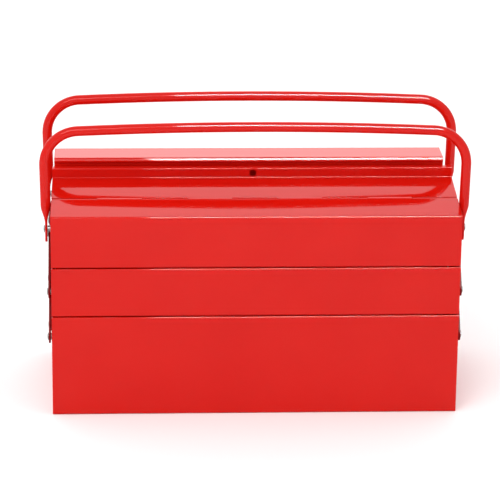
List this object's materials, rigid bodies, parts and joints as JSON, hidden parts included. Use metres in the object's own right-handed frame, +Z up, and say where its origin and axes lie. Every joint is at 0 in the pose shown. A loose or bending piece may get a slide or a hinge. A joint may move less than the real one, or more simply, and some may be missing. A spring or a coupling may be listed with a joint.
{
  "type": "cantilever toolbox",
  "caption": "Folding sheet-steel toolbox: a base box and tiered trays that swing apart to both sides on riveted arms, with hinged lids and tube handles.",
  "frame": {"origin": "centre of the base's underside, at floor level", "axes": "+X along the box's length, +Y to the rear (the front is the side with the upright lid flange), +Z up"},
  "size_m": [0.4538, 0.2, 0.3115],
  "materials": {
    "red_enamel": "glossy red enamel on folded sheet steel",
    "red_enamel_tube": "glossy red enamel on steel tube",
    "red_enamel_arm": "red enamel on flat steel arms",
    "plated_steel": "zinc-plated rivets and hinge pins"
  },
  "bodies": {
    "base": {"base_shell": "red_enamel", "front_left_long_arm_foot_rivet": "plated_steel", "front_left_lower_arm_foot_rivet": "plated_steel", "front_right_long_arm_foot_rivet": "plated_steel", "front_right_lower_arm_foot_rivet": "plated_steel", "rear_left_long_arm_foot_rivet": "plated_steel", "rear_left_lower_arm_foot_rivet": "plated_steel", "rear_right_long_arm_foot_rivet": "plated_steel", "rear_right_lower_arm_foot_rivet": "plated_steel"},
    "front_long_arms": {"front_left_long_arm": "red_enamel_arm", "front_right_long_arm": "red_enamel_arm"},
    "front_lower_arms": {"front_left_lower_arm": "red_enamel_arm", "front_right_lower_arm": "red_enamel_arm"},
    "front_upper_arms": {"front_left_upper_arm": "red_enamel_arm", "front_right_upper_arm": "red_enamel_arm"},
    "front_middle_tray": {"front_middle_tray": "red_enamel", "front_left_long_arm_middle_rivet": "plated_steel", "front_left_lower_arm_top_rivet": "plated_steel", "front_left_upper_arm_foot_rivet": "plated_steel", "front_right_long_arm_middle_rivet": "plated_steel", "front_right_lower_arm_top_rivet": "plated_steel", "front_right_upper_arm_foot_rivet": "plated_steel"},
    "front_top_tray": {"front_top_tray": "red_enamel", "front_hinge_pin": "plated_steel", "front_left_long_arm_top_rivet": "plated_steel", "front_left_upper_arm_top_rivet": "plated_steel", "front_left_handle_rivet": "plated_steel", "front_right_long_arm_top_rivet": "plated_steel", "front_right_upper_arm_top_rivet": "plated_steel", "front_right_handle_rivet": "plated_steel"},
    "front_lid": {"front_lid": "red_enamel"},
    "front_handle": {"front_handle": "red_enamel_tube"},
    "rear_long_arms": {"rear_left_long_arm": "red_enamel_arm", "rear_right_long_arm": "red_enamel_arm"},
    "rear_lower_arms": {"rear_left_lower_arm": "red_enamel_arm", "rear_right_lower_arm": "red_enamel_arm"},
    "rear_upper_arms": {"rear_left_upper_arm": "red_enamel_arm", "rear_right_upper_arm": "red_enamel_arm"},
    "rear_middle_tray": {"rear_middle_tray": "red_enamel", "rear_left_long_arm_middle_rivet": "plated_steel", "rear_left_lower_arm_top_rivet": "plated_steel", "rear_left_upper_arm_foot_rivet": "plated_steel", "rear_right_long_arm_middle_rivet": "plated_steel", "rear_right_lower_arm_top_rivet": "plated_steel", "rear_right_upper_arm_foot_rivet": "plated_steel"},
    "rear_top_tray": {"rear_top_tray": "red_enamel", "rear_hinge_pin": "plated_steel", "rear_left_long_arm_top_rivet": "plated_steel", "rear_left_upper_arm_top_rivet": "plated_steel", "rear_left_handle_rivet": "plated_steel", "rear_right_long_arm_top_rivet": "plated_steel", "rear_right_upper_arm_top_rivet": "plated_steel", "rear_right_handle_rivet": "plated_steel"},
    "rear_lid": {"rear_lid": "red_enamel"},
    "rear_handle": {"rear_handle": "red_enamel_tube"}
  },
  "joints": [
    {"name": "front_swing", "type": "hinge", "parent": "base", "child": "front_long_arms", "pos_m": [0, -0.086, 0.0835], "axis": [1, 0, 0], "range_deg": [0, 71.79]},
    {"name": "front_middle_tray_pivot", "type": "hinge", "parent": "front_long_arms", "child": "front_middle_tray", "pos_m": [0, -0.048, 0.136], "axis": [1, 0, 0], "range_deg": [-71.79, 0]},
    {"name": "front_top_tray_pivot", "type": "hinge", "parent": "front_long_arms", "child": "front_top_tray", "pos_m": [0, -0.01, 0.1885], "axis": [1, 0, 0], "range_deg": [-71.79, 0]},
    {"name": "front_lower_arm_pivot", "type": "hinge", "parent": "base", "child": "front_lower_arms", "pos_m": [0, -0.048, 0.0835], "axis": [1, 0, 0], "range_deg": [0, 71.79]},
    {"name": "front_upper_arm_pivot", "type": "hinge", "parent": "front_middle_tray", "child": "front_upper_arms", "pos_m": [0, -0.084, 0.133], "axis": [1, 0, 0], "range_deg": [0, 71.79]},
    {"name": "front_lid_hinge", "type": "hinge", "parent": "front_top_tray", "child": "front_lid", "pos_m": [0, -0.054, 0.22354], "axis": [1, 0, 0], "range_deg": [0, 70]},
    {"name": "front_handle_pivot", "type": "hinge", "parent": "front_top_tray", "child": "front_handle", "pos_m": [0, -0.064, 0.196], "axis": [1, 0, 0], "range_deg": [-32, 100]},
    {"name": "rear_swing", "type": "hinge", "parent": "base", "child": "rear_long_arms", "pos_m": [0, 0.086, 0.0835], "axis": [-1, 0, 0], "range_deg": [0, 71.79]},
    {"name": "rear_middle_tray_pivot", "type": "hinge", "parent": "rear_long_arms", "child": "rear_middle_tray", "pos_m": [0, 0.048, 0.136], "axis": [-1, 0, 0], "range_deg": [-71.79, 0]},
    {"name": "rear_top_tray_pivot", "type": "hinge", "parent": "rear_long_arms", "child": "rear_top_tray", "pos_m": [0, 0.01, 0.1885], "axis": [-1, 0, 0], "range_deg": [-71.79, 0]},
    {"name": "rear_lower_arm_pivot", "type": "hinge", "parent": "base", "child": "rear_lower_arms", "pos_m": [0, 0.048, 0.0835], "axis": [-1, 0, 0], "range_deg": [0, 71.79]},
    {"name": "rear_upper_arm_pivot", "type": "hinge", "parent": "rear_middle_tray", "child": "rear_upper_arms", "pos_m": [0, 0.084, 0.133], "axis": [-1, 0, 0], "range_deg": [0, 71.79]},
    {"name": "rear_lid_hinge", "type": "hinge", "parent": "rear_top_tray", "child": "rear_lid", "pos_m": [0, 0.054, 0.22354], "axis": [-1, 0, 0], "range_deg": [0, 95]},
    {"name": "rear_handle_pivot", "type": "hinge", "parent": "rear_top_tray", "child": "rear_handle", "pos_m": [0, 0.064, 0.196], "axis": [-1, 0, 0], "range_deg": [-32, 100]}
  ],
  "couplings": [
    {"joint": "front_middle_tray_pivot", "follows": "front_swing", "ratio": -1},
    {"joint": "front_top_tray_pivot", "follows": "front_swing", "ratio": -1},
    {"joint": "front_lower_arm_pivot", "follows": "front_swing", "ratio": 1},
    {"joint": "front_upper_arm_pivot", "follows": "front_swing", "ratio": 1},
    {"joint": "rear_middle_tray_pivot", "follows": "rear_swing", "ratio": -1},
    {"joint": "rear_top_tray_pivot", "follows": "rear_swing", "ratio": -1},
    {"joint": "rear_lower_arm_pivot", "follows": "rear_swing", "ratio": 1},
    {"joint": "rear_upper_arm_pivot", "follows": "rear_swing", "ratio": 1}
  ]
}
